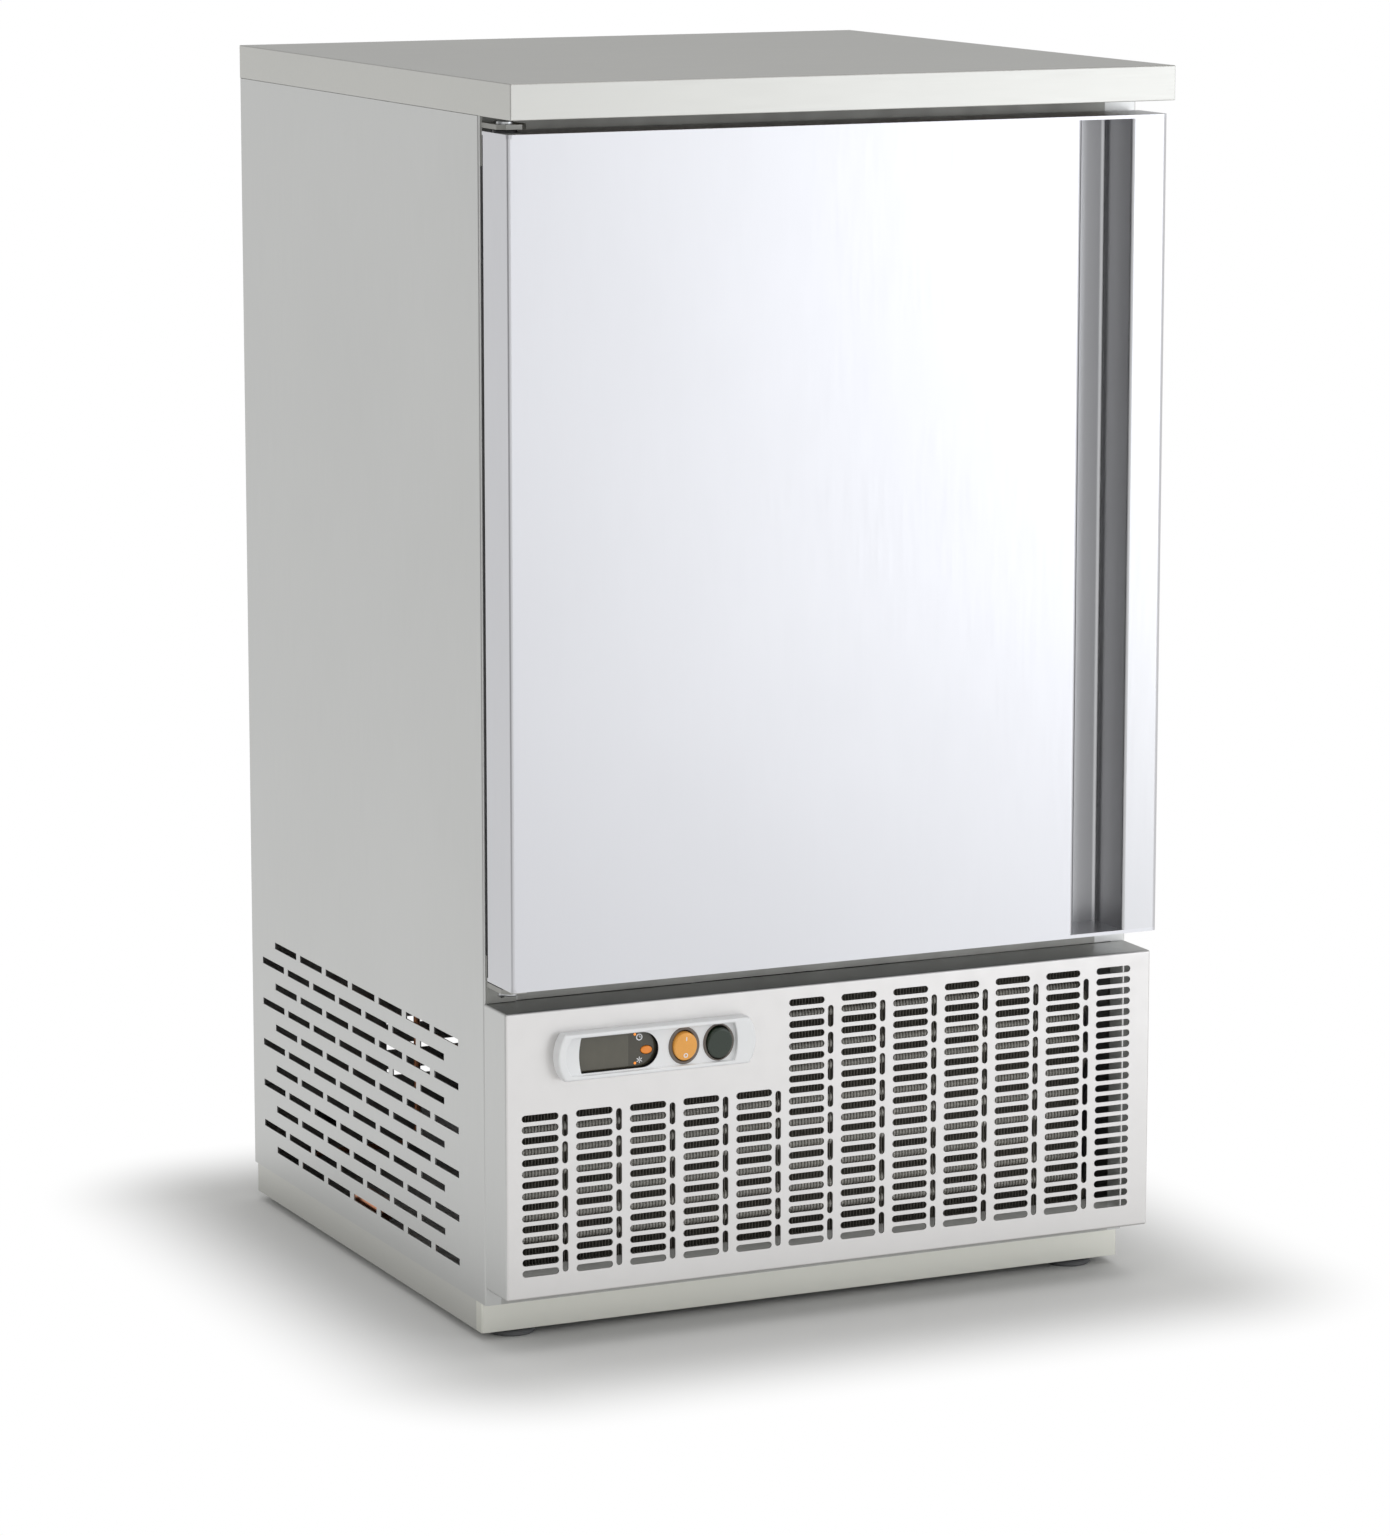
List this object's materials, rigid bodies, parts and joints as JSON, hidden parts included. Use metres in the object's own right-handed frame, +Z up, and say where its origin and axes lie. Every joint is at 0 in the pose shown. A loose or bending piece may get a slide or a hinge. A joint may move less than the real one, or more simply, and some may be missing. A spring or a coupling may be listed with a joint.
{
  "type": "glass froster",
  "caption": "Upright stainless steel glass froster with one hinged door, a worktop, a slotted grille with rocker switches, wire shelves and a fan cooled refrigerating unit.",
  "frame": {"origin": "on the floor, under the middle of the worktop", "axes": "+X to the right as seen from the front, +Y to the back, +Z up; the door faces -Y"},
  "size_m": [0.6, 0.613, 1.044],
  "materials": {
    "stainless_steel": "fine brushed stainless steel",
    "grille_steel": "satin stainless steel",
    "liner_steel": "satin stainless steel",
    "galvanised_steel": "zinc coated",
    "chipboard": "raw board",
    "foam": "cut foam",
    "grey_plastic": "matt",
    "gasket_rubber": "matt",
    "black_plastic": "matt",
    "white_plastic": "satin gloss",
    "dark_window": "gloss, smoked",
    "orange_plastic": "translucent gloss",
    "green_plastic": "gloss",
    "collar_plastic": "satin",
    "fin_aluminium": "mill finish",
    "copper_tube": "drawn copper",
    "black_enamel": "gloss enamel",
    "shelf_wire": "plastic coated"
  },
  "bodies": {
    "cabinet": {"base_plate": "galvanised_steel", "breaker_strip": "grey_plastic", "cable_gland": "black_plastic", "compressor": "black_enamel", "compressor_mounts": "gasket_rubber", "condenser_fan_motor": "black_enamel", "condenser_fins": "fin_aluminium", "condenser_hood": "galvanised_steel", "condenser_tubes": "copper_tube", "control_bezel": "white_plastic", "controller_body": "black_plastic", "controller_lens": "dark_window", "deck_sheet": "galvanised_steel", "defrost_switch": "collar_plastic", "discharge_pipe": "copper_tube", "drain_pipe": "grey_plastic", "evaporating_tray": "grey_plastic", "evaporator": "fin_aluminium", "evaporator_cover": "liner_steel", "evaporator_fan_motor": "black_enamel", "filter_drier": "copper_tube", "foot_inserts": "galvanised_steel", "front_frame": "stainless_steel", "grille_panel": "grille_steel", "hinge_brackets": "galvanised_steel", "hinge_pins": "galvanised_steel", "inner_liner": "liner_steel", "insulation": "foam", "liquid_pipe": "copper_tube", "plinth_front": "stainless_steel", "plinth_skirts": "stainless_steel", "power_switch": "collar_plastic", "rear_cover": "galvanised_steel", "rear_panel": "galvanised_steel", "relay_box": "black_plastic", "roof_sheet": "galvanised_steel", "shelf_supports": "liner_steel", "side_panel_left": "stainless_steel", "side_panel_right": "stainless_steel", "suction_pipe": "copper_tube", "wire_shelf_lower": "shelf_wire", "wire_shelf_upper": "shelf_wire", "worktop": "stainless_steel", "worktop_core": "chipboard"},
    "door": {"door_skin": "stainless_steel", "door_grip": "stainless_steel", "door_caps": "stainless_steel", "door_foam": "foam", "door_liner": "liner_steel", "door_gasket": "gasket_rubber", "door_bushes": "black_plastic"},
    "power_rocker": {"power_rocker": "orange_plastic"},
    "defrost_rocker": {"defrost_rocker": "green_plastic"},
    "set_key": {"set_key": "orange_plastic"},
    "condenser_fan": {"condenser_fan_blade": "black_plastic"},
    "evaporator_fan": {"evaporator_fan_blade": "black_plastic"},
    "foot_front_left": {"foot_front_left": "black_plastic"},
    "foot_front_right": {"foot_front_right": "black_plastic"},
    "foot_rear_left": {"foot_rear_left": "black_plastic"},
    "foot_rear_right": {"foot_rear_right": "black_plastic"}
  },
  "joints": [
    {"name": "door_hinge", "type": "hinge", "parent": "cabinet", "child": "door", "pos_m": [-0.288, -0.2645, 0.31], "axis": [0, 0, -1], "range_deg": [0, 110]},
    {"name": "power_rocker_tilt", "type": "hinge", "parent": "cabinet", "child": "power_rocker", "pos_m": [-0.1433, -0.2909, 0.25025], "axis": [1, 0, 0], "range_deg": [-14, 0]},
    {"name": "defrost_rocker_tilt", "type": "hinge", "parent": "cabinet", "child": "defrost_rocker", "pos_m": [-0.1119, -0.2909, 0.25025], "axis": [1, 0, 0], "range_deg": [-14, 0]},
    {"name": "set_key_press", "type": "slide", "parent": "cabinet", "child": "set_key", "axis": [0, 1, 0], "range_m": [0, 0.0008], "stiffness_N_per_m": 500},
    {"name": "condenser_fan_spin", "type": "hinge", "parent": "cabinet", "child": "condenser_fan", "pos_m": [0, 0, 0.1522], "axis": [0, 1, 0], "continuous": true},
    {"name": "evaporator_fan_spin", "type": "hinge", "parent": "cabinet", "child": "evaporator_fan", "pos_m": [0, 0, 0.855], "axis": [0, 1, 0], "continuous": true},
    {"name": "foot_front_left_screw", "type": "slide", "parent": "cabinet", "child": "foot_front_left", "axis": [0, 0, -1], "range_m": [0, 0.012]},
    {"name": "foot_front_right_screw", "type": "slide", "parent": "cabinet", "child": "foot_front_right", "axis": [0, 0, -1], "range_m": [0, 0.012]},
    {"name": "foot_rear_left_screw", "type": "slide", "parent": "cabinet", "child": "foot_rear_left", "axis": [0, 0, -1], "range_m": [0, 0.012]},
    {"name": "foot_rear_right_screw", "type": "slide", "parent": "cabinet", "child": "foot_rear_right", "axis": [0, 0, -1], "range_m": [0, 0.012]}
  ]
}
